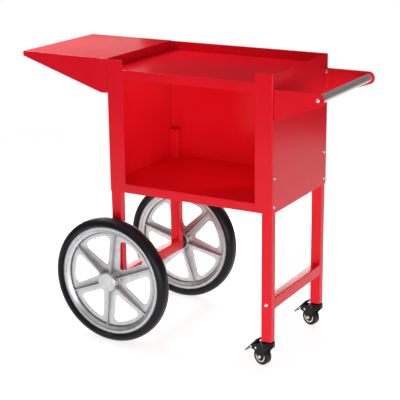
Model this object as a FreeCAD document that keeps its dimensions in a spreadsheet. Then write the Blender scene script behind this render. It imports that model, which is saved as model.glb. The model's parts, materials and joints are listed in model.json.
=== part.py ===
"""Popcorn machine cart: a red sheet steel cabinet on four tube legs, with two large spoked wheels,
two braked swivel casters, a fixed side shelf and a tube handle.

Frame: origin on the ground, under the middle of the whole cart. +X runs towards the handle, +Y towards
the closed rear of the cabinet and +Z up. Millimetres.
"""
import FreeCAD, Part
import math
import os
import Sketcher

doc = FreeCAD.newDocument("popcorn_cart")
sheet = doc.addObject("Spreadsheet::Sheet", "Dim")

DIMENSIONS = [
    # cabinet
    ("cab_left", -180, "outer face of the left side panel"),
    ("cab_width", 500, "cabinet width"),
    ("cab_front", -172, "front face of the cabinet"),
    ("cab_depth", 344, "cabinet depth"),
    ("cab_bottom", 433, "underside of the cabinet above the ground"),
    ("cab_height", 370, "height of the side panels"),
    ("skin", 1.2, "sheet steel thickness of the cabinet and shelf"),
    ("bend", 2.4, "outer bend radius of the sheet"),
    ("post_width", 50, "width of the front flanges"),
    ("rail_depth", 25, "height of the front rails"),
    ("lip_depth", 14, "height of the hidden side and rear lips"),
    ("floor_top", 458, "top of the cabinet floor"),
    ("tray_top", 777, "top of the tray that carries the machine"),
    ("rear_lip", 4, "side lips of the rear panel"),
    # legs and crossbars
    ("leg_width", 30, "leg tube across the cart"),
    ("leg_depth", 25, "leg tube front to rear"),
    ("tube_wall", 1.5, "wall of the leg and crossbar tubes"),
    ("tube_corner", 3, "corner radius of the leg tubes"),
    ("leg_top", 544, "top of the legs inside the cabinet"),
    ("left_foot", 164, "bottom of the legs on the wheel side"),
    ("right_foot", 74, "bottom of the legs on the caster side"),
    ("bar_width", 25, "crossbar tube width"),
    ("bar_bottom", 164, "underside of the crossbars"),
    ("bar_height", 32, "crossbar tube height"),
    ("bar_plate", 4, "welded end plate of a crossbar"),
    ("foot_plug", 25, "length of the plug in the foot of a leg"),
    # fasteners
    ("bolt_r", 2.95, "bolt shank radius"),
    ("thread_r", 3.05, "radius of a threaded hole, shown smooth"),
    ("bolt_hole_r", 3.3, "radius of a clearance hole"),
    ("head_r", 5.5, "bolt head radius"),
    ("head_rise", 2.8, "bolt head height"),
    ("panel_bolt", 12, "length of the shelf and bracket bolts"),
    ("panel_nut_r", 5.77, "circumradius of the nuts behind the panels"),
    ("panel_nut", 5, "thickness of the nuts behind the panels"),
    ("bar_bite", 6, "reach of a crossbar bolt past the welded plate"),
    ("insert_r", 4.5, "outer radius of a rivet nut"),
    ("insert_length", 12, "length of a rivet nut"),
    ("bolt_low", 452, "height of the lower leg bolts"),
    ("bolt_high", 529, "height of the upper leg bolts"),
    ("bar_bolt", 180, "height of the crossbar bolts"),
    # side shelf
    ("shelf_reach", 280, "length of the side shelf"),
    ("shelf_lap", 2, "overlap of the shelf on the side panel's top edge"),
    ("shelf_end", 12, "height of the shelf's outer end lip"),
    ("shelf_base", 94, "height of the shelf's wings at the cabinet"),
    ("shelf_flat", 22, "level stretch at the bottom of the wings"),
    ("flange", 18, "width of the bolted flanges of shelf and handle brackets"),
    ("shelf_bolt_low", 728, "height of the lower shelf bolts"),
    ("shelf_bolt_high", 750, "height of the upper shelf bolts"),
    # handle
    ("plate", 2, "thickness of a handle bracket"),
    ("bracket_inset", 3, "bracket's outer face behind the cabinet's front and rear faces"),
    ("bracket_bottom", 684, "lowest point of a bracket"),
    ("bracket_base", 79.5, "height of a bracket at the cabinet"),
    ("tip_reach", 122.5, "distance of the handle's axis from the side panel"),
    ("tip_rise", 62, "height of the handle's axis above the bracket's lowest point"),
    ("tip_r", 17.5, "radius of a bracket's rounded tip"),
    ("grip_r", 11, "handle tube radius"),
    ("grip_wall", 1.5, "handle tube wall"),
    ("grip_plug", 16, "length of a threaded plug in the handle tube"),
    ("bracket_bolt_low", 693, "height of the lower bracket bolts"),
    ("bracket_bolt_high", 754, "height of the upper bracket bolts"),
    # large wheels, across their own axle
    ("tyre_r", 181, "tyre radius"),
    ("tyre_half", 23.5, "half of the tyre's width"),
    ("tyre_round", 19, "rounding of the tyre's shoulders"),
    ("tyre_bead", 4, "height of the tyre's bead above the rim"),
    ("rim_r", 157.5, "rim radius"),
    ("rim_half", 14, "half of the rim's width"),
    ("seat_r", 152, "radius of the tyre's seat in the rim"),
    ("seat_half", 11.5, "half of the seat's width"),
    ("lip_r", 149, "inner radius of the rim's face"),
    ("step_r", 140, "radius where the rim's slope ends in a step down to the web"),
    ("step_half", 7, "half thickness at the foot of the rim's slope"),
    ("web_half", 1.75, "half thickness of the web"),
    ("window_r", 126, "outer radius of the windows between the spokes"),
    ("spoke_half", 17, "half width of a spoke"),
    ("window_corner", 12, "corner radius of a window"),
    ("rib_thick", 3.2, "thickness of a spoke's rib"),
    ("rib_tall", 20, "height of a spoke's rib at the hub"),
    ("barrel_r", 26.5, "outer radius of the hub barrel"),
    ("barrel_bore", 23.5, "inner radius of the hub barrel"),
    ("hub_half", 22, "half length of the hub barrel"),
    ("sleeve_r", 13.5, "outer radius of the bush sleeve"),
    ("bush_r", 10, "outer radius of a bush"),
    ("sleeve_out", 10, "outer end of the bush sleeve"),
    ("hub_rib", 1.6, "thickness of the ribs inside the hub barrel"),
    ("cap_r", 27.8, "hub cap radius"),
    ("cap_face", 30, "outer face of the hub cap"),
    ("cap_wall", 4, "thickness of the hub cap's face"),
    ("cap_bevel", 2.5, "bevel of the hub cap"),
    ("spigot_wall", 3, "wall of the hub cap's spigot"),
    ("spigot_end", 13, "inner end of the hub cap's spigot"),
    ("bush_length", 12, "length of a bush"),
    ("wheel_y", 200, "distance of the wheels' middle planes from the cart's middle"),
    ("axle_r", 6, "wheel axle radius"),
    ("axle_fit", 0.05, "radial clearance of running fits"),
    ("axle_half", 224, "half length of the wheel axle"),
    ("axle_set", 2, "distance of the wheel axle from the legs' middle, towards the shelf"),
    ("jam_nut", 6, "thickness of the jam nuts against the legs"),
    ("lock_nut", 10, "thickness of the lock nuts at the axle's ends"),
    ("washer_r", 12, "radius of the axle washers"),
    ("washer", 1.2, "thickness of the outer axle washers"),
    ("side_play", 0.3, "gap beside a turning part"),
    ("nut_r", 10.97, "circumradius of an axle nut"),
    # casters, in their own frame: the swivel axis is Z and the wheel trails towards -X
    ("caster_turn", -16, "angle of the casters about their swivel axes"),
    ("trail", 19, "distance of the caster's axle from its swivel axis"),
    ("roller_r", 25, "caster wheel radius"),
    ("roller_half", 9.5, "half width of the caster wheel"),
    ("core_r", 17, "radius of the caster wheel's hard core"),
    ("ring_r", 16, "outer radius of the bright ring on the wheel's face"),
    ("ring_bore", 13, "inner radius of the bright ring"),
    ("fork_half", 13.5, "half width of the fork"),
    ("fork_gap", 11.5, "half width of the space between the fork's plates"),
    ("crown_r", 17.5, "radius of the fork's crown"),
    ("crown_low", 57, "underside of the crown"),
    ("crown_top", 65, "top of the crown"),
    ("race_r", 19.5, "radius of the fixed upper race"),
    ("race_bevel", 1.5, "bevel of the upper race"),
    ("race_low", 66, "underside of the upper race"),
    ("race_top", 72, "top of the upper race"),
    ("stem_r", 5, "radius of the caster's stem"),
    ("pin_r", 2, "radius of the brake's pivot pin"),
    ("rivet_head_r", 3.2, "radius of a rivet's head"),
    ("rivet_head", 1.4, "height of a rivet's head"),
    ("pivot_x", -49.3, "brake pivot behind the swivel axis"),
    ("pivot_z", 46.4, "height of the brake pivot"),
    ("rivet_x", -31.7, "spring rivet behind the swivel axis"),
    ("rivet_z", 47.4, "height of the spring rivet"),
    ("pedal_half", 10, "half width of the brake pedal"),
    ("spindle_r", 3, "radius of the caster wheel's axle"),
    ("spindle_head", 5.5, "radius of the head of the caster wheel's axle"),
    ("spindle_rise", 4, "height of the head of the caster wheel's axle"),
    ("spindle_nut", 4, "thickness of the nut on the caster wheel's axle"),
    ("spindle_end", 1.5, "reach of the caster wheel's axle past its nut"),
    ("core_boss", 6, "radius of the core's boss"),
    ("core_inset", 1, "depth of the core's face inside the tread"),
    ("ring_thick", 1.6, "thickness of the bright ring"),
    ("ring_proud", 0.6, "reach of the bright ring past the tread"),
    ("tread_round", 3, "rounding of the tread's shoulders"),
    ("shoe_half", 7.5, "half width of the brake shoe"),
]
for row, (alias, value, note) in enumerate(DIMENSIONS, start=1):
    sheet.set(f"A{row}", note)
    sheet.set(f"B{row}", str(value))
    sheet.setAlias(f"B{row}", alias)
doc.recompute()

FRONT_SPOKE = 22.7   # degrees, how far the front wheel's spokes stand turned at rest
REAR_SPOKE = 47.0    # degrees, the same for the rear wheel
SPOKES = 6
HUB_RIBS = 12

# Caster outlines: distance along X from the swivel axis and height above the ground.
STEM_PROFILE = [
    (0, 54), (7, 54), (7, "Dim.crown_low - Dim.side_play"), ("Dim.stem_r", "Dim.crown_low - Dim.side_play"),
    ("Dim.stem_r", "Dim.race_top"), (8, "Dim.race_top"), (8, "Dim.right_foot"),
    ("Dim.stem_r", "Dim.right_foot"), ("Dim.stem_r", 95), (0, 95),
]
FORK_OUTLINE = [
    (14, "Dim.crown_top"), (14, 56), (0, 42), (-11.5, 18.5), (-26.5, 18.5), (-35, 38),
    (-46, 40.5), (-54.5, 41), (-54.5, 51), (-34, 59), (-17, "Dim.crown_top"),
]
FORK_REAR = -19
PEDAL_PLATE = [(-33, 72), (-55, 49.3), (-77, 27), (-75.2, 25), (-54, 45), (-51.5, 47), (-29.5, 68.5)]
PEDAL_LUGS = [(-42, 59), (-55, 46), (-52.5, 42), (-46, 42), (-40, 54)]
PEDAL_SLOT = [(-40.5, 54.5), (-53.3, 42), (-50, 38), (-36, 38), (-36, 54.5)]
PEDAL_SHOE = [(-44, 56), (-53, 47), (-50, 38), (-44.5, 35), (-43.5, 38), (-45.5, 47)]
SPRING_SECTION = [(-19.2, 65.4), (-33, 53), (-33, 49), (-31.6, 49), (-31.6, 52.4), (-19.2, 63.4)]

ALONG_X = FreeCAD.Rotation(FreeCAD.Vector(0, 1, 0), 90)
ALONG_Y = FreeCAD.Rotation(FreeCAD.Vector(1, 0, 0), -90)
AGAINST_Y = FreeCAD.Rotation(FreeCAD.Vector(1, 0, 0), 90)
UPRIGHT = FreeCAD.Rotation()

CAB_RIGHT = "(Dim.cab_left + Dim.cab_width)"
CAB_REAR = "(Dim.cab_front + Dim.cab_depth)"
CAB_TOP = "(Dim.cab_bottom + Dim.cab_height)"
LEG_MIDDLE_X = "(Dim.skin + Dim.leg_width / 2)"
LEG_MIDDLE_Y = "(Dim.skin + Dim.leg_depth / 2)"
LEFT_LEG_X = f"(Dim.cab_left + {LEG_MIDDLE_X})"
RIGHT_LEG_X = f"({CAB_RIGHT} - {LEG_MIDDLE_X})"
FRONT_LEG_Y = f"(Dim.cab_front + {LEG_MIDDLE_Y})"
REAR_LEG_Y = f"({CAB_REAR} - {LEG_MIDDLE_Y})"
WHEEL_X = f"({LEFT_LEG_X} - Dim.axle_set)"

subparts = []


def size(formula):
    """The value of a formula on the sheet, in millimetres or degrees."""
    return float(sheet.evalExpression(str(formula)))


def keep(thing, label):
    """Names a finished sub-part after its node and lists it for export."""
    thing.Label = label
    subparts.append(thing)
    return thing


def place(thing, x=0, y=0, z=0, rotation=UPRIGHT):
    """Seats a shape by formulas for its base point."""
    thing.Placement = FreeCAD.Placement(FreeCAD.Vector(), rotation)
    for axis, formula in zip("xyz", (x, y, z)):
        thing.setExpression(f"Placement.Base.{axis}", str(formula))
    return thing


# ---------------------------------------------------------------- PartDesign helpers

def new_body(name):
    return doc.addObject("PartDesign::Body", name)


def origin_feature(body, role):
    return next(item for item in body.Origin.OriginFeatures if item.Role == role)


def new_sketch(body, name, role, offset=None):
    sketch = body.newObject("Sketcher::SketchObject", name)
    sketch.AttachmentSupport = [(origin_feature(body, role), "")]
    sketch.MapMode = "FlatFace"
    if offset is not None:
        sketch.setExpression("AttachmentOffset.Base.z", str(offset))
    return sketch


def fix_point(sketch, geometry, point, x, y):
    """Ties one sketch point to formulas for its two coordinates."""
    for kind, formula in (("DistanceX", x), ("DistanceY", y)):
        rule = Sketcher.Constraint(kind, -1, 1, geometry, point, size(formula))
        index = sketch.addConstraint(rule)
        sketch.setExpression(f"Constraints[{index}]", str(formula))


def add_loop(sketch, corners):
    """A closed polygon through corners given as pairs of formulas."""
    points = [FreeCAD.Vector(size(x), size(y), 0) for x, y in corners]
    first = sketch.GeometryCount
    count = len(points)
    for index, start in enumerate(points):
        sketch.addGeometry(Part.LineSegment(start, points[(index + 1) % count]), False)
    for index in range(count):
        following = first + (index + 1) % count
        sketch.addConstraint(Sketcher.Constraint("Coincident", first + index, 2, following, 1))
    for index, (x, y) in enumerate(corners):
        fix_point(sketch, first + index, 1, x, y)


def add_circle(sketch, x, y, radius):
    centre = FreeCAD.Vector(size(x), size(y), 0)
    circle = Part.Circle(centre, FreeCAD.Vector(0, 0, 1), size(radius))
    index = sketch.addGeometry(circle, False)
    fix_point(sketch, index, 3, x, y)
    rule = sketch.addConstraint(Sketcher.Constraint("Radius", index, size(radius)))
    sketch.setExpression(f"Constraints[{rule}]", str(radius))


def rectangle(x0, x1, y0, y1):
    return [(x0, y0), (x1, y0), (x1, y1), (x0, y1)]


def pad(body, sketch, length, symmetric=False, flipped=False):
    feature = body.newObject("PartDesign::Pad", sketch.Name + "_pad")
    feature.Profile = sketch
    feature.SideType = "Symmetric" if symmetric else "One side"
    feature.Reversed = flipped
    feature.setExpression("Length", str(length))
    doc.recompute()
    return feature


def pocket(body, sketch, width=None):
    """Cuts a sketch through the whole body, or over a width centred on the sketch's plane."""
    before = body.Shape.Volume
    feature = body.newObject("PartDesign::Pocket", sketch.Name + "_pocket")
    feature.Profile = sketch
    feature.SideType = "Symmetric"
    if width is None:
        feature.Type = "ThroughAll"
    else:
        feature.setExpression("Length", str(width))
    doc.recompute()
    if body.Shape.Volume >= before:
        raise RuntimeError(f"{feature.Name} removes nothing")
    return feature


def revolve(body, sketch):
    """Turns a profile of radius and height about the body's own Z axis."""
    feature = body.newObject("PartDesign::Revolution", sketch.Name + "_turned")
    feature.Profile = sketch
    feature.ReferenceAxis = (origin_feature(body, "Z_Axis"), [""])
    feature.Angle = 360
    doc.recompute()
    return feature


def repeat_round(body, feature, count):
    pattern = body.newObject("PartDesign::PolarPattern", feature.Name + "_ring")
    pattern.Originals = [feature]
    pattern.Axis = (origin_feature(body, "Z_Axis"), [""])
    pattern.Angle = 360
    pattern.Occurrences = count
    body.Tip = pattern
    doc.recompute()
    return pattern


def round_edges(body, radius, chosen):
    """Fillets every straight or round edge of the body that the test picks."""
    base = body.Tip
    names = [f"Edge{number}" for number, edge in enumerate(base.Shape.Edges, start=1) if chosen(edge)]
    feature = body.newObject("PartDesign::Fillet", f"{body.Name}_round")
    feature.Base = (base, names)
    feature.setExpression("Radius", str(radius))
    doc.recompute()
    return feature


def runs_along(edge, direction):
    """True for a straight edge parallel to a direction."""
    if not isinstance(edge.Curve, Part.Line):
        return False
    return abs(abs(edge.Curve.Direction.dot(direction)) - 1) < 1e-6


def middle_of(edge):
    return edge.valueAt((edge.FirstParameter + edge.LastParameter) / 2)


def line_at(direction, **place_of):
    """A test for straight edges along a direction whose middle has the given coordinates."""
    def chosen(edge):
        middle = middle_of(edge)
        near = all(abs(getattr(middle, axis) - value) < 0.01 for axis, value in place_of.items())
        return runs_along(edge, direction) and near
    return chosen


X = FreeCAD.Vector(1, 0, 0)
Y = FreeCAD.Vector(0, 1, 0)
Z = FreeCAD.Vector(0, 0, 1)


def turned_body(name, profile):
    """A body of revolution about Z from corners of radius and height."""
    body = new_body(name)
    sketch = new_sketch(body, f"{name}_profile", "XZ_Plane")
    add_loop(sketch, profile)
    revolve(body, sketch)
    return body


# ---------------------------------------------------------------- Part helpers

def cylinder(name, x, y, z, radius, length, rotation=UPRIGHT):
    """A cylinder whose axis starts at a point and runs along the rotated Z."""
    shape = doc.addObject("Part::Cylinder", name)
    shape.setExpression("Radius", str(radius))
    shape.setExpression("Height", str(length))
    return place(shape, x, y, z, rotation)


def block(name, corner, extent):
    shape = doc.addObject("Part::Box", name)
    for side, formula in zip(("Length", "Width", "Height"), extent):
        shape.setExpression(side, str(formula))
    return place(shape, *corner)


def cut_away(name, base, tools):
    """A base shape less its tools, which must remove something."""
    tool = tools[0]
    if len(tools) > 1:
        tool = doc.addObject("Part::MultiFuse", f"{name}_tools")
        tool.Shapes = tools
    shape = doc.addObject("Part::Cut", name)
    shape.Base = base
    shape.Tool = tool
    doc.recompute()
    if shape.Shape.Volume >= base.Shape.Volume:
        raise RuntimeError(f"{name} removes nothing")
    return shape


def join(name, shapes):
    shape = doc.addObject("Part::MultiFuse", name)
    shape.Shapes = shapes
    doc.recompute()
    return shape


def group(name, shapes):
    """Separate solids that share one node."""
    shape = doc.addObject("Part::Compound", name)
    shape.Links = shapes
    doc.recompute()
    return shape


def bolt(name, x, y, z, length, rotation):
    """A round-headed bolt: its shank runs along the rotated Z from the face under its head."""
    shank = doc.addObject("Part::Cylinder", f"{name}_shank")
    shank.setExpression("Radius", "Dim.bolt_r")
    shank.setExpression("Height", str(length))
    head = doc.addObject("Part::Ellipsoid", f"{name}_head")
    head.setExpression("Radius1", "Dim.head_rise")
    head.setExpression("Radius2", "Dim.head_r")
    head.setExpression("Radius3", "Dim.head_r")
    head.Angle1 = -90
    head.Angle2 = 0
    return place(join(name, [head, shank]), x, y, z, rotation)


def ring(name, x, y, z, outer, inner, length, rotation):
    """A plain tube, such as a washer, bush or threaded insert."""
    wall = cylinder(f"{name}_wall", 0, 0, 0, outer, length)
    bore = cylinder(f"{name}_bore", 0, 0, 0, inner, length)
    return place(cut_away(name, wall, [bore]), x, y, z, rotation)


# ---------------------------------------------------------------- cabinet

def make_side_panel(side):
    """Side skin with its front flange bent inwards: the flanges are the two front posts."""
    name = f"{side}_side_panel"
    inward = 1 if side == "left" else -1
    body = new_body(name)
    profile = new_sketch(body, f"{name}_profile", "XY_Plane")
    add_loop(profile, [
        (0, 0),
        (f"{inward} * Dim.post_width", 0),
        (f"{inward} * Dim.post_width", "Dim.skin"),
        (f"{inward} * Dim.skin", "Dim.skin"),
        (f"{inward} * Dim.skin", "Dim.cab_depth"),
        (0, "Dim.cab_depth"),
    ])
    pad(body, profile, "Dim.cab_height")
    round_edges(body, "Dim.bend", line_at(Z, x=0, y=0))
    skin = size("Dim.skin")
    round_edges(body, "Dim.bend - Dim.skin", line_at(Z, x=inward * skin, y=skin))
    if side == "left":
        upper = ("Dim.skin + Dim.flange / 2", "Dim.shelf_bolt_low", "Dim.shelf_bolt_high")
    else:
        upper = ("Dim.bracket_inset + Dim.flange / 2", "Dim.bracket_bolt_low", "Dim.bracket_bolt_high")
    rows = [(LEG_MIDDLE_Y, "Dim.bolt_low", "Dim.bolt_high"), upper]
    holes = new_sketch(body, f"{name}_holes", "YZ_Plane")
    for offset, low, high in rows:
        for depth in (offset, f"Dim.cab_depth - ({offset})"):
            for height in (low, high):
                add_circle(holes, depth, f"{height} - Dim.cab_bottom", "Dim.bolt_hole_r")
    pocket(body, holes)
    place(body, "Dim.cab_left" if side == "left" else CAB_RIGHT, "Dim.cab_front", "Dim.cab_bottom")
    keep(body, name)


def make_rear_panel():
    """Rear sheet between the side panels, with lips that reach forwards above the legs."""
    body = new_body("rear_panel")
    width = "(Dim.cab_width - 2 * Dim.skin)"
    profile = new_sketch(body, "rear_panel_profile", "XY_Plane")
    add_loop(profile, [
        (0, 0),
        (width, 0),
        (width, "-Dim.rear_lip"),
        (f"{width} - Dim.skin", "-Dim.rear_lip"),
        (f"{width} - Dim.skin", "-Dim.skin"),
        ("Dim.skin", "-Dim.skin"),
        ("Dim.skin", "-Dim.rear_lip"),
        (0, "-Dim.rear_lip"),
    ])
    pad(body, profile, "Dim.cab_height")
    skin = size("Dim.skin")
    reach = size(width)
    for x in (0, reach):
        round_edges(body, "Dim.bend", line_at(Z, x=x, y=0))
    for x in (skin, reach - skin):
        round_edges(body, "Dim.bend - Dim.skin", line_at(Z, x=x, y=-skin))
    notches = new_sketch(body, "rear_panel_notches", "YZ_Plane")
    add_loop(notches, rectangle("-2 * Dim.rear_lip", "-Dim.skin", -1,
                                "Dim.leg_top - Dim.cab_bottom + 2"))
    add_loop(notches, rectangle("-2 * Dim.rear_lip", "-Dim.skin",
                                "Dim.tray_top - Dim.cab_bottom - Dim.rail_depth - 2",
                                "Dim.cab_height + 1"))
    pocket(body, notches)
    place(body, "Dim.cab_left + Dim.skin", CAB_REAR, "Dim.cab_bottom")
    keep(body, "rear_panel")


def make_pan(name, top, notched):
    """A folded pan: a plate with a deep front rail between the posts and lower hidden lips."""
    near = "Dim.skin"
    far = "(Dim.cab_depth - Dim.skin)"
    left = "Dim.skin"
    right = "(Dim.cab_width - Dim.skin)"
    post_left = "Dim.post_width"
    post_right = "(Dim.cab_width - Dim.post_width)"
    leg_left = "(Dim.skin + Dim.leg_width)"
    leg_right = "(Dim.cab_width - Dim.skin - Dim.leg_width)"
    leg_near = "(Dim.skin + Dim.leg_depth)"
    leg_far = "(Dim.cab_depth - Dim.skin - Dim.leg_depth)"
    if notched:
        outline = [
            (leg_right, near), (leg_right, leg_near), (right, leg_near),
            (right, leg_far), (leg_right, leg_far), (leg_right, far),
            (leg_left, far), (leg_left, leg_far), (left, leg_far),
            (left, leg_near), (leg_left, leg_near), (leg_left, near),
        ]
        lips = [
            rectangle(left, f"{left} + Dim.skin", leg_near, leg_far),
            rectangle(f"{right} - Dim.skin", right, leg_near, leg_far),
            rectangle(leg_left, leg_right, f"{far} - Dim.skin", far),
        ]
    else:
        outline = [
            (f"{right} - Dim.skin", near), (right, f"{near} + Dim.skin"), (right, far),
            (left, far), (left, f"{near} + Dim.skin"), (f"{left} + Dim.skin", near),
        ]
        lips = [
            rectangle(left, f"{left} + Dim.skin", f"{near} + 2 * Dim.skin", f"{far} - 2 * Dim.skin"),
            rectangle(f"{right} - Dim.skin", right, f"{near} + 2 * Dim.skin", f"{far} - 2 * Dim.skin"),
            rectangle(f"{left} + 2 * Dim.skin", f"{right} - 2 * Dim.skin", f"{far} - Dim.skin", far),
        ]
    body = new_body(name)
    plate = new_sketch(body, f"{name}_plate", "XY_Plane")
    add_loop(plate, [(post_left, near), (post_left, 0), (post_right, 0), (post_right, near)] + outline)
    pad(body, plate, "Dim.skin", flipped=True)
    rail = new_sketch(body, f"{name}_rail", "XY_Plane")
    add_loop(rail, rectangle(post_left, post_right, 0, "Dim.skin"))
    pad(body, rail, "Dim.rail_depth", flipped=True)
    edges = new_sketch(body, f"{name}_lips", "XY_Plane")
    for loop in lips:
        add_loop(edges, loop)
    pad(body, edges, "Dim.lip_depth", flipped=True)
    round_edges(body, "1.5 * Dim.skin", line_at(X, y=0, z=0))
    place(body, "Dim.cab_left", "Dim.cab_front", top)
    keep(body, name)


# ---------------------------------------------------------------- legs and crossbars

def make_tube(name, width, depth, wall, length):
    """An upright rectangular tube with rounded corners, centred on its axis."""
    body = new_body(name)
    section = new_sketch(body, f"{name}_section", "XY_Plane")
    for inset in ("0", wall):
        half_x = f"({width} / 2 - {inset})"
        half_y = f"({depth} / 2 - {inset})"
        add_loop(section, rectangle(f"-{half_x}", half_x, f"-{half_y}", half_y))
    pad(body, section, length)
    outer = size(f"{width} / 2")
    inner = size(f"{width} / 2 - {wall}")
    round_edges(body, "Dim.tube_corner", lambda edge: runs_along(edge, Z)
                and abs(abs(middle_of(edge).x) - outer) < 0.01)
    round_edges(body, f"Dim.tube_corner - {wall}", lambda edge: runs_along(edge, Z)
                and abs(abs(middle_of(edge).x) - inner) < 0.01
                and abs(middle_of(edge).y) > 5)
    return body


def make_leg(end, side):
    """A leg with rivet nut holes towards the side panel and one cross hole near its foot."""
    name = f"{end}_{side}_leg"
    left = side == "left"
    foot = "Dim.left_foot" if left else "Dim.right_foot"
    blank = make_tube(f"{name}_tube", "Dim.leg_width", "Dim.leg_depth", "Dim.tube_wall",
                      f"Dim.leg_top - {foot}")
    face = "-Dim.leg_width" if left else "0"
    holes = []
    for height in ("bolt_low", "bolt_high"):
        holes.append(cylinder(f"{name}_{height}", face, 0, f"Dim.{height} - {foot}",
                              "Dim.insert_r + Dim.axle_fit", "Dim.leg_width", ALONG_X))
    cross_height = "Dim.tyre_r" if left else "Dim.bar_bolt"
    cross_radius = "Dim.axle_r + Dim.axle_fit" if left else "Dim.bolt_hole_r"
    holes.append(cylinder(f"{name}_cross", "-Dim.axle_set" if left else 0, "-Dim.leg_depth", f"{cross_height} - {foot}",
                          cross_radius, "2 * Dim.leg_depth", ALONG_Y))
    leg = cut_away(name, blank, holes)
    place(leg, LEFT_LEG_X if left else RIGHT_LEG_X, FRONT_LEG_Y if end == "front" else REAR_LEG_Y, foot)
    keep(leg, name)


def make_crossbar(side):
    """A closed rectangular tube between the legs, with a bored plate welded into each end."""
    name = f"{side}_crossbar"
    left = side == "left"
    length = "(Dim.cab_depth - 2 * Dim.skin - 2 * Dim.leg_depth)"
    body = new_body(f"{name}_bar")
    section = new_sketch(body, f"{name}_section", "XZ_Plane")
    add_loop(section, rectangle(0, "Dim.bar_width", 0, "Dim.bar_height"))
    pad(body, section, length, symmetric=True)
    round_edges(body, "Dim.tube_corner - 1", lambda edge: runs_along(edge, Y))
    hollow = block(f"{name}_hollow",
                   ("Dim.tube_wall", f"-{length} / 2 + Dim.bar_plate", "Dim.tube_wall"),
                   ("Dim.bar_width - 2 * Dim.tube_wall", f"{length} - 2 * Dim.bar_plate",
                    "Dim.bar_height - 2 * Dim.tube_wall"))
    bore_height = "Dim.tyre_r" if left else "Dim.bar_bolt"
    bore_radius = "Dim.axle_r + Dim.axle_fit" if left else "Dim.thread_r"
    bore_shift = "Dim.axle_set" if left else "0"
    bore = cylinder(f"{name}_bore", f"Dim.bar_width - Dim.leg_width / 2 - {bore_shift}", f"-{length} / 2",
                    f"{bore_height} - Dim.bar_bottom", bore_radius, length, ALONG_Y)
    bar = cut_away(name, body, [hollow, bore])
    leg_x = LEFT_LEG_X if left else RIGHT_LEG_X
    place(bar, f"{leg_x} + Dim.leg_width / 2 - Dim.bar_width", "Dim.cab_front + Dim.cab_depth / 2",
          "Dim.bar_bottom")
    keep(bar, name)


def make_leg_plug(end):
    """A moulded plug that fills the foot of a caster-side leg and takes the caster's stem."""
    name = f"{end}_leg_plug"
    body = new_body(name)
    section = new_sketch(body, f"{name}_section", "XY_Plane")
    half_x = "(Dim.leg_width / 2 - Dim.tube_wall)"
    half_y = "(Dim.leg_depth / 2 - Dim.tube_wall)"
    add_loop(section, rectangle(f"-{half_x}", half_x, f"-{half_y}", half_y))
    add_circle(section, 0, 0, "Dim.stem_r + Dim.axle_fit")
    pad(body, section, "Dim.foot_plug")
    round_edges(body, "Dim.tube_corner - Dim.tube_wall", lambda edge: runs_along(edge, Z)
                and abs(middle_of(edge).x) > 12 and abs(middle_of(edge).y) > 10)
    place(body, RIGHT_LEG_X, FRONT_LEG_Y if end == "front" else REAR_LEG_Y, "Dim.right_foot")
    keep(body, name)


# ---------------------------------------------------------------- side shelf

def make_side_shelf():
    """A folded shelf: level top, short outer end lip and two tapered wings bolted to the cabinet."""
    body = new_body("side_shelf")
    outline = new_sketch(body, "side_shelf_outline", "XZ_Plane")
    add_loop(outline, [
        ("Dim.shelf_lap", "Dim.skin"),
        ("-Dim.shelf_reach", "Dim.skin"),
        ("-Dim.shelf_reach", "-Dim.shelf_end"),
        ("-Dim.shelf_flat", "-Dim.shelf_base"),
        (0, "-Dim.shelf_base"),
        (0, 0),
        ("Dim.shelf_lap", 0),
    ])
    pad(body, outline, "Dim.cab_depth", symmetric=True)
    skin = size("Dim.skin")
    reach = size("Dim.shelf_reach")
    half = size("Dim.cab_depth / 2")
    round_edges(body, "1.5 * Dim.skin", lambda edge: abs(middle_of(edge).z - skin) < 0.01
                and middle_of(edge).x < 0)
    hollow = new_sketch(body, "side_shelf_hollow", "XZ_Plane")
    add_loop(hollow, rectangle("-Dim.shelf_reach + Dim.skin", "4 * Dim.shelf_lap",
                               "-Dim.shelf_base - 10", 0))
    pocket(body, hollow, "Dim.cab_depth - 2 * Dim.skin")
    flanges = new_sketch(body, "side_shelf_flanges", "YZ_Plane")
    inner = "(Dim.cab_depth / 2 - Dim.skin / 2)"
    for sign in ("", "-"):
        add_loop(flanges, rectangle(f"{sign}{inner}", f"{sign}({inner} - Dim.flange)",
                                    "-Dim.shelf_base + 3", -2))
    pad(body, flanges, "Dim.skin", flipped=True)
    holes = new_sketch(body, "side_shelf_holes", "YZ_Plane")
    bolt_y = "(Dim.cab_depth / 2 - Dim.skin - Dim.flange / 2)"
    for sign in ("", "-"):
        for height in ("Dim.shelf_bolt_low", "Dim.shelf_bolt_high"):
            add_circle(holes, f"{sign}{bolt_y}", f"{height} - {CAB_TOP}", "Dim.bolt_hole_r")
    pocket(body, holes, 10)
    place(body, "Dim.cab_left", "Dim.cab_front + Dim.cab_depth / 2", CAB_TOP)
    keep(body, "side_shelf")


# ---------------------------------------------------------------- handle

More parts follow.
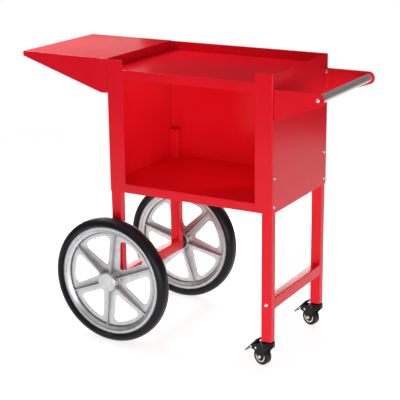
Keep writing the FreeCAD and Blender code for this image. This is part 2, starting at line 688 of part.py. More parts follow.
def make_handle_bracket(end):
    """A tapered plate with a round tip, and a flange bent inwards against the side panel."""
    name = f"{end}_handle_bracket"
    inward = 1 if end == "front" else -1
    tip = FreeCAD.Vector(size("Dim.tip_reach"), size("Dim.tip_rise"), 0)
    radius = size("Dim.tip_r")
    top = FreeCAD.Vector(0, tip.y + radius, 0)
    below = math.atan2(tip.y, tip.x) - math.asin(radius / tip.Length)
    touch = FreeCAD.Vector(math.cos(below), math.sin(below), 0) * math.sqrt(tip.Length ** 2 - radius ** 2)
    body = new_body(name)
    outline = new_sketch(body, f"{name}_outline", "XZ_Plane")
    corner = FreeCAD.Vector()
    crest = tip + FreeCAD.Vector(0, radius, 0)
    start = math.atan2(touch.y - tip.y, touch.x - tip.x)
    circle = Part.Circle(tip, FreeCAD.Vector(0, 0, 1), radius)
    outline.addGeometry(Part.LineSegment(corner, touch), False)
    outline.addGeometry(Part.ArcOfCircle(circle, start, math.pi / 2), False)
    outline.addGeometry(Part.LineSegment(crest, top), False)
    outline.addGeometry(Part.LineSegment(top, corner), False)
    outline.addConstraint(Sketcher.Constraint("Tangent", 0, 2, 1, 1))
    outline.addConstraint(Sketcher.Constraint("Tangent", 1, 2, 2, 1))
    outline.addConstraint(Sketcher.Constraint("Coincident", 2, 2, 3, 1))
    outline.addConstraint(Sketcher.Constraint("Coincident", 3, 2, 0, 1))
    outline.addConstraint(Sketcher.Constraint("Coincident", 0, 1, -1, 1))
    outline.addConstraint(Sketcher.Constraint("Vertical", 3))
    outline.addConstraint(Sketcher.Constraint("Horizontal", 2))
    fix_point(outline, 1, 3, "Dim.tip_reach", "Dim.tip_rise")
    rule = outline.addConstraint(Sketcher.Constraint("Radius", 1, radius))
    outline.setExpression(f"Constraints[{rule}]", "Dim.tip_r")
    pad(body, outline, "Dim.plate", flipped=inward > 0)
    flange = new_sketch(body, f"{name}_flange", "YZ_Plane")
    add_loop(flange, rectangle(0, f"{inward} * Dim.flange", 0, "Dim.bracket_base"))
    pad(body, flange, "Dim.plate")
    plate = size("Dim.plate")
    round_edges(body, "1.5 * Dim.plate", line_at(Z, x=0, y=0))
    round_edges(body, "Dim.plate / 2", line_at(Z, x=plate, y=inward * plate))
    holes = new_sketch(body, f"{name}_holes", "YZ_Plane")
    for height in ("Dim.bracket_bolt_low", "Dim.bracket_bolt_high"):
        add_circle(holes, f"{inward} * Dim.flange / 2", f"{height} - Dim.bracket_bottom", "Dim.bolt_hole_r")
    pocket(body, holes, 10)
    eye = new_sketch(body, f"{name}_eye", "XZ_Plane")
    add_circle(eye, "Dim.tip_reach", "Dim.tip_rise", "Dim.bolt_hole_r")
    pocket(body, eye)
    y = "Dim.cab_front + Dim.bracket_inset" if inward > 0 else f"{CAB_REAR} - Dim.bracket_inset"
    place(body, CAB_RIGHT, y, "Dim.bracket_bottom")
    keep(body, name)


def make_handle():
    """The grip tube between the brackets, its threaded plugs and the two bolts that hold it."""
    x = f"{CAB_RIGHT} + Dim.tip_reach"
    z = "Dim.bracket_bottom + Dim.tip_rise"
    outer = "(Dim.cab_depth / 2 - Dim.bracket_inset)"
    half = f"({outer} - Dim.plate)"
    bore = "Dim.grip_r - Dim.grip_wall"
    keep(ring("handle_tube", x, f"-{half}", z, "Dim.grip_r", bore, f"2 * {half}", ALONG_Y), "handle_tube")
    plugs = []
    bolts = []
    for end, sign, rotation in (("front", "-", ALONG_Y), ("rear", "", AGAINST_Y)):
        plugs.append(ring(f"grip_plug_{end}", x, f"{sign}{half}", z, f"{bore} - Dim.axle_fit",
                          "Dim.thread_r", "Dim.grip_plug", rotation))
        bolts.append(bolt(f"grip_bolt_{end}", x, f"{sign}{outer}", z, "Dim.grip_plug", rotation))
    keep(group("handle_plugs", plugs), "handle_plugs")
    keep(group("handle_bolts", bolts), "handle_bolts")


# ---------------------------------------------------------------- bolts, nuts and inserts

def make_panel_fasteners():
    """Leg bolts with rivet nuts, shelf and bracket bolts with nuts, and the crossbar bolts."""
    leg_bolts = []
    inserts = []
    shelf_bolts = []
    bracket_bolts = []
    nuts = []
    sides = (("left", "Dim.cab_left", ALONG_X, 1),
             ("right", CAB_RIGHT, FreeCAD.Rotation(FreeCAD.Vector(0, 1, 0), -90), -1))
    for side, face, rotation, inward in sides:
        for end, y in (("front", FRONT_LEG_Y), ("rear", REAR_LEG_Y)):
            for height in ("bolt_low", "bolt_high"):
                tag = f"{side}_{end}_{height}"
                leg_bolts.append(bolt(f"leg_{tag}", face, y, f"Dim.{height}",
                                      "Dim.skin + Dim.insert_length", rotation))
                inserts.append(ring(f"insert_{tag}", f"{face} + {inward} * Dim.skin", y, f"Dim.{height}",
                                    "Dim.insert_r", "Dim.thread_r", "Dim.insert_length", rotation))
    for sign in ("-", ""):
        end = "front" if sign else "rear"
        shelf_y = f"{sign}(Dim.cab_depth / 2 - Dim.skin - Dim.flange / 2)"
        bracket_y = f"{sign}(Dim.cab_depth / 2 - Dim.bracket_inset - Dim.flange / 2)"
        for height in ("shelf_bolt_low", "shelf_bolt_high"):
            shelf_bolts.append(bolt(f"{end}_{height}", "Dim.cab_left - Dim.skin", shelf_y, f"Dim.{height}",
                                    "Dim.panel_bolt", ALONG_X))
            nuts.append(hex_nut(f"{end}_{height}_nut", "Dim.cab_left + Dim.skin", shelf_y,
                                f"Dim.{height}", "Dim.panel_nut_r", "Dim.thread_r", "Dim.panel_nut",
                                ALONG_X))
        for height in ("bracket_bolt_low", "bracket_bolt_high"):
            rotation = sides[1][2]
            bracket_bolts.append(bolt(f"{end}_{height}", f"{CAB_RIGHT} + Dim.plate", bracket_y,
                                      f"Dim.{height}", "Dim.panel_bolt", rotation))
            nuts.append(hex_nut(f"{end}_{height}_nut", f"{CAB_RIGHT} - Dim.skin", bracket_y,
                                f"Dim.{height}", "Dim.panel_nut_r", "Dim.thread_r", "Dim.panel_nut",
                                rotation))
    bar_bolts = []
    reach = "Dim.leg_depth + Dim.bar_plate + Dim.bar_bite"
    bar_bolts.append(bolt("front_bar_bolt", RIGHT_LEG_X, "Dim.cab_front + Dim.skin", "Dim.bar_bolt",
                          reach, ALONG_Y))
    bar_bolts.append(bolt("rear_bar_bolt", RIGHT_LEG_X, f"{CAB_REAR} - Dim.skin", "Dim.bar_bolt",
                          reach, AGAINST_Y))
    keep(group("leg_bolts", leg_bolts), "leg_bolts")
    keep(group("leg_rivet_nuts", inserts), "leg_rivet_nuts")
    keep(group("shelf_bolts", shelf_bolts), "shelf_bolts")
    keep(group("bracket_bolts", bracket_bolts), "bracket_bolts")
    keep(group("panel_nuts", nuts), "panel_nuts")
    keep(group("crossbar_bolts", bar_bolts), "crossbar_bolts")


def hex_nut(name, x, y, z, circumradius, bore_radius, height, rotation):
    blank = doc.addObject("Part::Prism", f"{name}_blank")
    blank.Polygon = 6
    blank.setExpression("Circumradius", str(circumradius))
    blank.setExpression("Height", str(height))
    bore = cylinder(f"{name}_bore", 0, 0, 0, bore_radius, height)
    return place(cut_away(name, blank, [bore]), x, y, z, rotation)


# ---------------------------------------------------------------- large wheels

def make_axle():
    """The dead axle through the left legs and crossbar, with its nuts and washers."""
    axle = cylinder("wheel_axle", WHEEL_X, "-Dim.axle_half", "Dim.tyre_r", "Dim.axle_r",
                    "2 * Dim.axle_half", ALONG_Y)
    keep(axle, "wheel_axle")
    bore = "Dim.axle_r + Dim.axle_fit"
    leg_face = "(Dim.cab_depth / 2 - Dim.skin)"
    hub_inner = "(Dim.wheel_y - Dim.hub_half)"
    seat = "(Dim.wheel_y + Dim.sleeve_out + Dim.side_play)"
    inner_length = f"{hub_inner} - Dim.side_play - {leg_face} - Dim.jam_nut"
    nuts = []
    washers = []
    for end, sign, rotation in (("front", "-", AGAINST_Y), ("rear", "", ALONG_Y)):
        nuts.append(hex_nut(f"jam_nut_{end}", WHEEL_X, f"{sign}{leg_face}", "Dim.tyre_r",
                            "Dim.nut_r", bore, "Dim.jam_nut", rotation))
        washers.append(ring(f"inner_washer_{end}", WHEEL_X, f"{sign}({leg_face} + Dim.jam_nut)",
                            "Dim.tyre_r", "Dim.washer_r", bore, inner_length, rotation))
        washers.append(ring(f"outer_washer_{end}", WHEEL_X, f"{sign}{seat}", "Dim.tyre_r",
                            "Dim.washer_r", bore, "Dim.washer", rotation))
        nuts.append(hex_nut(f"lock_nut_{end}", WHEEL_X, f"{sign}({seat} + Dim.washer)", "Dim.tyre_r",
                            "Dim.nut_r", bore, "Dim.lock_nut", rotation))
    keep(group("axle_nuts", nuts), "axle_nuts")
    keep(group("axle_washers", washers), "axle_washers")


def wheel_profile():
    """Half section of the moulded wheel: bush sleeve, hub barrel, web and rim, as radius and height."""
    return [
        ("Dim.bush_r", "-Dim.hub_half"),
        ("Dim.sleeve_r", "-Dim.hub_half"),
        ("Dim.sleeve_r", "-Dim.web_half"),
        ("Dim.barrel_bore", "-Dim.web_half"),
        ("Dim.barrel_bore", "-Dim.hub_half"),
        ("Dim.barrel_r", "-Dim.hub_half"),
        ("Dim.barrel_r", "-Dim.web_half"),
        ("Dim.step_r - 1", "-Dim.web_half"),
        ("Dim.step_r", "-Dim.step_half"),
        ("Dim.lip_r", "-Dim.rim_half"),
        ("Dim.rim_r", "-Dim.rim_half"),
        ("Dim.rim_r", "-Dim.seat_half"),
        ("Dim.seat_r", "-Dim.seat_half"),
        ("Dim.seat_r", "Dim.seat_half"),
        ("Dim.rim_r", "Dim.seat_half"),
        ("Dim.rim_r", "Dim.rim_half"),
        ("Dim.lip_r", "Dim.rim_half"),
        ("Dim.step_r", "Dim.step_half"),
        ("Dim.step_r - 1", "Dim.web_half"),
        ("Dim.barrel_r", "Dim.web_half"),
        ("Dim.barrel_r", "Dim.hub_half"),
        ("Dim.barrel_bore", "Dim.hub_half"),
        ("Dim.barrel_bore", "Dim.web_half"),
        ("Dim.sleeve_r", "Dim.web_half"),
        ("Dim.sleeve_r", "Dim.sleeve_out"),
        ("Dim.bush_r", "Dim.sleeve_out"),
    ]


def add_window(body, name):
    """One window between two spokes: two sides parallel to the spokes and an arc inside the rim."""
    spoke = size("Dim.spoke_half")
    radius = size("Dim.window_r")
    share = math.radians(360 / SPOKES)
    low_angle = math.asin(spoke / radius)
    high_angle = share - low_angle
    apex = FreeCAD.Vector(spoke / math.tan(share / 2), spoke, 0)
    low = FreeCAD.Vector(math.cos(low_angle), math.sin(low_angle), 0) * radius
    high = FreeCAD.Vector(math.cos(high_angle), math.sin(high_angle), 0) * radius
    sketch = new_sketch(body, name, "XY_Plane")
    rim = Part.Circle(FreeCAD.Vector(), FreeCAD.Vector(0, 0, 1), radius)
    sketch.addGeometry(Part.LineSegment(apex, low), False)
    sketch.addGeometry(Part.ArcOfCircle(rim, low_angle, high_angle), False)
    sketch.addGeometry(Part.LineSegment(high, apex), False)
    sketch.addConstraint(Sketcher.Constraint("Coincident", 0, 2, 1, 1))
    sketch.addConstraint(Sketcher.Constraint("Coincident", 1, 2, 2, 1))
    sketch.addConstraint(Sketcher.Constraint("Coincident", 2, 2, 0, 1))
    sketch.addConstraint(Sketcher.Constraint("Coincident", 1, 3, -1, 1))
    sketch.addConstraint(Sketcher.Constraint("Horizontal", 0))
    fix_point(sketch, 0, 1, f"Dim.spoke_half / tan({180 / SPOKES})", "Dim.spoke_half")
    rule = sketch.addConstraint(Sketcher.Constraint("Radius", 1, radius))
    sketch.setExpression(f"Constraints[{rule}]", "Dim.window_r")
    sketch.addConstraint(Sketcher.Constraint("Angle", 0, 1, 2, 2, share))
    return pocket(body, sketch)


def make_wheel(end, rotation, phase):
    """One moulded six-spoke wheel, kept as its rim and its spokes; its own +Z faces outwards."""
    name = f"{end}_wheel"
    body = turned_body(name, wheel_profile())
    window = add_window(body, f"{name}_window")
    repeat_round(body, window, SPOKES)
    inside = size("Dim.spoke_half")
    outside = size("Dim.window_r") + 1
    round_edges(body, "Dim.window_corner", lambda edge: runs_along(edge, Z)
                and inside < math.hypot(middle_of(edge).x, middle_of(edge).y) < outside
                and edge.Length < 5)
    ribs = new_sketch(body, f"{name}_ribs", "XZ_Plane")
    add_loop(ribs, [
        ("Dim.barrel_r - 1.5", "-Dim.rib_tall"),
        ("Dim.step_r + 2", "-Dim.step_half"),
        ("Dim.step_r + 2", "Dim.step_half"),
        ("Dim.barrel_r - 1.5", "Dim.rib_tall"),
    ])
    rib = pad(body, ribs, "Dim.rib_thick", symmetric=True)
    repeat_round(body, rib, SPOKES)
    spreaders = new_sketch(body, f"{name}_spreaders", "XZ_Plane")
    add_loop(spreaders, rectangle("Dim.sleeve_r - 1", "Dim.barrel_bore + 1",
                                  "-Dim.hub_half + 2", "Dim.sleeve_out - 2"))
    spreader = pad(body, spreaders, "Dim.hub_rib", symmetric=True)
    repeat_round(body, spreader, HUB_RIBS)
    sign = "-" if end == "front" else ""
    turn = rotation.multiply(FreeCAD.Rotation(FreeCAD.Vector(0, 0, 1), phase))
    drum = cylinder(f"{name}_drum", 0, 0, "-Dim.tyre_half", "Dim.window_r", "2 * Dim.tyre_half")
    spokes = doc.addObject("Part::Common", f"{name}_spokes")
    spokes.Base = body
    spokes.Tool = drum
    doc.recompute()
    for piece, node in ((cut_away(f"{name}_rim", body, [drum]), f"{name}_rim"), (spokes, f"{name}_spokes")):
        place(piece, WHEEL_X, f"{sign}Dim.wheel_y", "Dim.tyre_r", turn)
        keep(piece, node)


def make_tyre(end, rotation):
    """A solid rubber tyre that fills the rim's channel and covers the rim's edges."""
    name = f"{end}_tyre"
    bead = "(Dim.rim_r + Dim.tyre_bead)"
    body = turned_body(name, [
        ("Dim.seat_r", "-Dim.seat_half"),
        ("Dim.rim_r", "-Dim.seat_half"),
        ("Dim.rim_r", "-Dim.rim_half"),
        (bead, "-Dim.tyre_half"),
        ("Dim.tyre_r", "-Dim.tyre_half"),
        ("Dim.tyre_r", "Dim.tyre_half"),
        (bead, "Dim.tyre_half"),
        ("Dim.rim_r", "Dim.rim_half"),
        ("Dim.rim_r", "Dim.seat_half"),
        ("Dim.seat_r", "Dim.seat_half"),
    ])
    crown = size("Dim.tyre_r")
    shoulder = size("Dim.tyre_half")
    round_edges(body, "Dim.tyre_round", lambda edge: isinstance(edge.Curve, Part.Circle)
                and abs(edge.Curve.Radius - crown) < 0.01
                and abs(abs(edge.Curve.Center.z) - shoulder) < 0.01)
    sign = "-" if end == "front" else ""
    place(body, WHEEL_X, f"{sign}Dim.wheel_y", "Dim.tyre_r", rotation)
    keep(body, name)


def make_hub_cap(end, rotation):
    """A round cap with a bevelled face, whose spigot plugs into the hub barrel."""
    name = f"{end}_hub_cap"
    body = turned_body(name, [
        (0, "Dim.cap_face - Dim.cap_wall"),
        ("Dim.barrel_bore - Dim.spigot_wall", "Dim.cap_face - Dim.cap_wall"),
        ("Dim.barrel_bore - Dim.spigot_wall", "Dim.spigot_end"),
        ("Dim.barrel_bore - Dim.axle_fit", "Dim.spigot_end"),
        ("Dim.barrel_bore - Dim.axle_fit", "Dim.hub_half"),
        ("Dim.cap_r", "Dim.hub_half"),
        ("Dim.cap_r", "Dim.cap_face - Dim.cap_bevel"),
        ("Dim.cap_r - Dim.cap_bevel", "Dim.cap_face"),
        (0, "Dim.cap_face"),
    ])
    sign = "-" if end == "front" else ""
    place(body, WHEEL_X, f"{sign}Dim.wheel_y", "Dim.tyre_r", rotation)
    keep(body, name)


def make_bushes(end, rotation):
    """The two nylon bushes that carry a wheel on the axle."""
    sign = "-" if end == "front" else ""
    bushes = []
    for place_name, base in (("inner", "-Dim.hub_half"), ("outer", "(Dim.sleeve_out - Dim.bush_length)")):
        direction = f"{sign}1"
        bushes.append(ring(f"{end}_{place_name}_bush", WHEEL_X,
                           f"{sign}Dim.wheel_y + {direction} * {base}", "Dim.tyre_r",
                           "Dim.bush_r", "Dim.axle_r + Dim.axle_fit", "Dim.bush_length", rotation))
    keep(group(f"{end}_wheel_bushes", bushes), f"{end}_wheel_bushes")


# ---------------------------------------------------------------- casters

class Caster:
    """One braked swivel caster. Its own frame has the swivel axis as Z and trails towards -X."""

    def __init__(self, end):
        self.name = f"{end}_caster"
        self.leg_y = FRONT_LEG_Y if end == "front" else REAR_LEG_Y
        self.turn = FreeCAD.Rotation(FreeCAD.Vector(0, 0, 1), size("Dim.caster_turn"))
        self.across = self.turn.multiply(ALONG_Y)

    def seat(self, thing, node):
        """Seats a piece drawn in the caster's own frame."""
        place(thing, RIGHT_LEG_X, self.leg_y, 0, self.turn)
        keep(thing, f"{self.name}_{node}")

    def seat_on_axle(self, thing, node):
        """Seats a piece turned about Z so that it turns about the caster wheel's axle."""
        place(thing, f"{RIGHT_LEG_X} - Dim.trail * cos(Dim.caster_turn)",
              f"{self.leg_y} - Dim.trail * sin(Dim.caster_turn)", "Dim.roller_r", self.across)
        keep(thing, f"{self.name}_{node}")

    def make_stem(self):
        self.seat(turned_body(f"{self.name}_stem", STEM_PROFILE), "stem")

    def make_race(self):
        bore = "Dim.stem_r + Dim.axle_fit"
        race = turned_body(f"{self.name}_upper_race", [
            (bore, "Dim.race_low"), ("Dim.race_r - Dim.race_bevel", "Dim.race_low"),
            ("Dim.race_r", "Dim.race_low + Dim.race_bevel"), ("Dim.race_r", "Dim.race_top - Dim.race_bevel"),
            ("Dim.race_r - 2 * Dim.race_bevel", "Dim.race_top"), (bore, "Dim.race_top"),
        ])
        self.seat(race, "upper_race")

    def make_fork(self):
        name = f"{self.name}_fork"
        plates = new_body(f"{name}_plates")
        outline = new_sketch(plates, f"{name}_outline", "XZ_Plane")
        add_loop(outline, FORK_OUTLINE)
        pad(plates, outline, "2 * Dim.fork_half", symmetric=True)
        round_edges(plates, 6, lambda edge: runs_along(edge, Y) and middle_of(edge).z < 20)
        round_edges(plates, 4, lambda edge: runs_along(edge, Y) and middle_of(edge).x < -54)
        crown = cylinder(f"{name}_crown", 0, 0, "Dim.crown_low", "Dim.crown_r",
                         "Dim.crown_top - Dim.crown_low")
        whole = join(f"{name}_whole", [plates, crown])
        gap = block(f"{name}_gap", (-70, "-Dim.fork_gap", 0), (110, "2 * Dim.fork_gap", "Dim.crown_low"))
        rear = block(f"{name}_rear", (-70, "-Dim.fork_gap", 0), (70 + FORK_REAR, "2 * Dim.fork_gap", 80))
        bore = cylinder(f"{name}_bore", 0, 0, 40, "Dim.stem_r + Dim.axle_fit", 40)
        holes = [gap, rear, bore]
        for tag, x, z, radius in (("spindle", "-Dim.trail", "Dim.roller_r", "Dim.spindle_r"),
                                  ("pivot", "Dim.pivot_x", "Dim.pivot_z", "Dim.pin_r"),
                                  ("rivet", "Dim.rivet_x", "Dim.rivet_z", "Dim.pin_r")):
            holes.append(cylinder(f"{name}_{tag}", x, -30, z, f"{radius} + Dim.axle_fit", 60, ALONG_Y))
        self.seat(cut_away(name, whole, holes), "fork")

    def make_wheel(self):
        tread = turned_body(f"{self.name}_tread", [
            ("Dim.core_r", "-Dim.roller_half"), ("Dim.roller_r", "-Dim.roller_half"),
            ("Dim.roller_r", "Dim.roller_half"), ("Dim.core_r", "Dim.roller_half"),
        ])
        crown = size("Dim.roller_r")
        round_edges(tread, "Dim.tread_round", lambda edge: isinstance(edge.Curve, Part.Circle)
                    and abs(edge.Curve.Radius - crown) < 0.01)
        self.seat_on_axle(tread, "tread")
        bore = "Dim.spindle_r + Dim.axle_fit"
        boss = "(Dim.fork_gap - Dim.side_play)"
        face = "(Dim.roller_half - Dim.core_inset)"
        core = turned_body(f"{self.name}_core", [
            (bore, f"-{boss}"), ("Dim.core_boss", f"-{boss}"), ("Dim.core_boss", f"-{face}"),
            ("Dim.core_r", f"-{face}"), ("Dim.core_r", face),
            ("Dim.core_boss", face), ("Dim.core_boss", boss), (bore, boss),
        ])
        self.seat_on_axle(core, "core")
        rings = [ring(f"{self.name}_ring_{tag}", 0, 0, base, "Dim.ring_r", "Dim.ring_bore", "Dim.ring_thick",
                      UPRIGHT)
                 for tag, base in (("near", "-Dim.roller_half - Dim.ring_proud"),
                                   ("far", "Dim.roller_half + Dim.ring_proud - Dim.ring_thick"))]
        self.seat_on_axle(group(f"{self.name}_rings", rings), "rings")

    def make_spindle(self):
        """The wheel's axle bolt, its head on the outer side and its nut on the other."""
        shank = cylinder(f"{self.name}_shank", 0, 0, "-Dim.fork_half", "Dim.spindle_r",
                         "2 * Dim.fork_half + Dim.spindle_nut + Dim.spindle_end")
        head = doc.addObject("Part::Ellipsoid", f"{self.name}_head")
        head.setExpression("Radius1", "Dim.spindle_rise")
        head.setExpression("Radius2", "Dim.spindle_head")
        head.setExpression("Radius3", "Dim.spindle_head")
        head.Angle1 = -90
        head.Angle2 = 0
        place(head, 0, 0, "-Dim.fork_half")
        self.seat_on_axle(join(f"{self.name}_spindle", [shank, head]), "axle")
        nut = hex_nut(f"{self.name}_nut", 0, 0, "Dim.fork_half", "Dim.spindle_head", "Dim.thread_r",
                      "Dim.spindle_nut", UPRIGHT)
        self.seat_on_axle(group(f"{self.name}_axle_nut", [nut]), "axle_nut")

    def make_pedal(self):
        """The rocking brake pedal: tread plate, two lugs on the pivot pin and the shoe."""
        name = f"{self.name}_brake_pedal"
        body = new_body(f"{name}_solid")
        plate = new_sketch(body, f"{name}_plate", "XZ_Plane")
        add_loop(plate, PEDAL_PLATE)
        pad(body, plate, "2 * Dim.pedal_half", symmetric=True)
        lugs = new_sketch(body, f"{name}_lugs", "XZ_Plane")
        add_loop(lugs, PEDAL_LUGS)
        pad(body, lugs, "2 * (Dim.fork_gap - Dim.side_play)", symmetric=True)
        slot = new_sketch(body, f"{name}_slot", "XZ_Plane")
        add_loop(slot, PEDAL_SLOT)
        pocket(body, slot, "2 * (Dim.pedal_half - 2)")
        shoe = new_sketch(body, f"{name}_shoe", "XZ_Plane")
        add_loop(shoe, PEDAL_SHOE)
        pad(body, shoe, "2 * Dim.shoe_half", symmetric=True)
        pin = cylinder(f"{name}_pin_hole", "Dim.pivot_x", -30, "Dim.pivot_z", "Dim.pin_r + Dim.axle_fit",
                       60, ALONG_Y)
        self.seat(cut_away(name, body, [pin]), "brake_pedal")

    def make_spring(self):
        """The bent spring plate behind the crown that the pedal snaps over."""
        body = new_body(f"{self.name}_brake_spring")
        section = new_sketch(body, f"{self.name}_spring_section", "XZ_Plane")
        add_loop(section, SPRING_SECTION)
        pad(body, section, "2 * Dim.fork_gap", symmetric=True)
        self.seat(body, "brake_spring")

    def make_rivets(self):
        """The brake's pivot pin and the two short rivets that hold the spring plate."""
        pieces = [cylinder(f"{self.name}_pin", "Dim.pivot_x", "-Dim.fork_half - Dim.rivet_head", "Dim.pivot_z",
                           "Dim.pin_r", "2 * (Dim.fork_half + Dim.rivet_head)", ALONG_Y)]
        joined = [pieces[0]]
        for tag, base in (("near", "-Dim.fork_half - Dim.rivet_head"), ("far", "Dim.fork_half")):
            joined.append(cylinder(f"{self.name}_pin_head_{tag}", "Dim.pivot_x", base, "Dim.pivot_z",
                                   "Dim.rivet_head_r", "Dim.rivet_head", ALONG_Y))
        solids = [join(f"{self.name}_pivot_pin", joined)]
        for tag, start, head in (("near", "-Dim.fork_half - Dim.rivet_head", "-Dim.fork_half - Dim.rivet_head"),
                                 ("far", "Dim.fork_gap", "Dim.fork_half")):
            shank = cylinder(f"{self.name}_rivet_shank_{tag}", "Dim.rivet_x", start, "Dim.rivet_z",
                             "Dim.pin_r", "Dim.fork_half - Dim.fork_gap + Dim.rivet_head", ALONG_Y)
            cap = cylinder(f"{self.name}_rivet_head_{tag}", "Dim.rivet_x", head, "Dim.rivet_z",
                           "Dim.rivet_head_r", "Dim.rivet_head", ALONG_Y)
            solids.append(join(f"{self.name}_rivet_{tag}", [shank, cap]))
        self.seat(group(f"{self.name}_rivets", solids), "rivets")

    def make(self):
        self.make_stem()
        self.make_race()
        self.make_fork()
        self.make_wheel()
        self.make_spindle()
        self.make_pedal()
        self.make_spring()
        self.make_rivets()


# ---------------------------------------------------------------- build and export

def check_document():
    """Stops at the first failed object or unusable sub-part."""
    failed = [item.Name for item in doc.Objects if "Invalid" in item.State or "Error" in item.State]
    if failed:
        raise RuntimeError(f"failed: {failed}")
    unusable = [item.Label for item in subparts
                if item.Shape.isNull() or not item.Shape.isValid() or not item.Shape.Solids]
    if unusable:
        raise RuntimeError(f"no valid solid: {unusable}")


for panel_side in ("left", "right"):
    make_side_panel(panel_side)
make_rear_panel()
make_pan("cabinet_floor", "Dim.floor_top", notched=True)
make_pan("top_tray", "Dim.tray_top", notched=False)
for leg_side in ("left", "right"):
    for leg_end in ("front", "rear"):
        make_leg(leg_end, leg_side)
    make_crossbar(leg_side)
for leg_end in ("front", "rear"):
    make_leg_plug(leg_end)
make_side_shelf()
for bracket_end in ("front", "rear"):
    make_handle_bracket(bracket_end)
make_handle()
make_panel_fasteners()
make_axle()
for wheel_end, outward, spoke_angle in (("front", AGAINST_Y, FRONT_SPOKE), ("rear", ALONG_Y, -REAR_SPOKE)):
    make_wheel(wheel_end, outward, spoke_angle)
    make_tyre(wheel_end, outward)
    make_hub_cap(wheel_end, outward)
    make_bushes(wheel_end, outward)
for caster_end in ("front", "rear"):
    Caster(caster_end).make()

doc.recompute()
check_document()
os.makedirs("parts", exist_ok=True)
for item in subparts:
    item.Shape.exportStep(f"parts/{item.Label}.step")
    solids = item.Shape.Solids
    print(f"{item.Label}: {len(solids)} solid(s), {item.Shape.Volume / 1000:.1f} cm3")
print(f"{len(subparts)} sub-parts")
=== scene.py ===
"""Looks of the popcorn machine cart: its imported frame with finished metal, rubber and plastic."""
import json
import math

import bmesh
import bpy
from mathutils import Matrix, Vector


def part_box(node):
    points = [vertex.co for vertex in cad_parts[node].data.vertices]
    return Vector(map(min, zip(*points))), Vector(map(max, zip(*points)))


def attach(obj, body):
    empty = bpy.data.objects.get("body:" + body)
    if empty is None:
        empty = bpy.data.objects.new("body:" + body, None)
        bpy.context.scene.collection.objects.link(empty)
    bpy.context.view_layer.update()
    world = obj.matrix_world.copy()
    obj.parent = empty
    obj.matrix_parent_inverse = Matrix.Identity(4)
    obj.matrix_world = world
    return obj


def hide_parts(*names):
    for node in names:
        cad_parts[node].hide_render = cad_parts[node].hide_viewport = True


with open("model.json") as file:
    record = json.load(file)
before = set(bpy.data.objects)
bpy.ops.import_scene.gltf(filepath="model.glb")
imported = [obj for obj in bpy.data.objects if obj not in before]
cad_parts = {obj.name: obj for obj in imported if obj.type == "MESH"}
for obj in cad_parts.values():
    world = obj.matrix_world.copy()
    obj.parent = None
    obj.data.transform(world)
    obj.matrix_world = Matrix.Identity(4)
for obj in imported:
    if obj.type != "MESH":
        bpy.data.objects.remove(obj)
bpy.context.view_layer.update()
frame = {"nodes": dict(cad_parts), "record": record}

NODES = frame["nodes"]
SLOT_OF = {s["node"]: s["material_slot"] for s in frame["record"]["subparts"]}
BODY_OF = {n: b for b, names in frame["record"]["behaviour"]["bodies"].items() for n in names}
MM = 0.001


# ---------------------------------------------------------------- materials

def set_range(node, start, end, low, high):
    """Sets what a Map Range node reads from and gives."""
    for socket, number in (("From Min", start), ("From Max", end), ("To Min", low), ("To Max", high)):
        node.inputs[socket].default_value = number


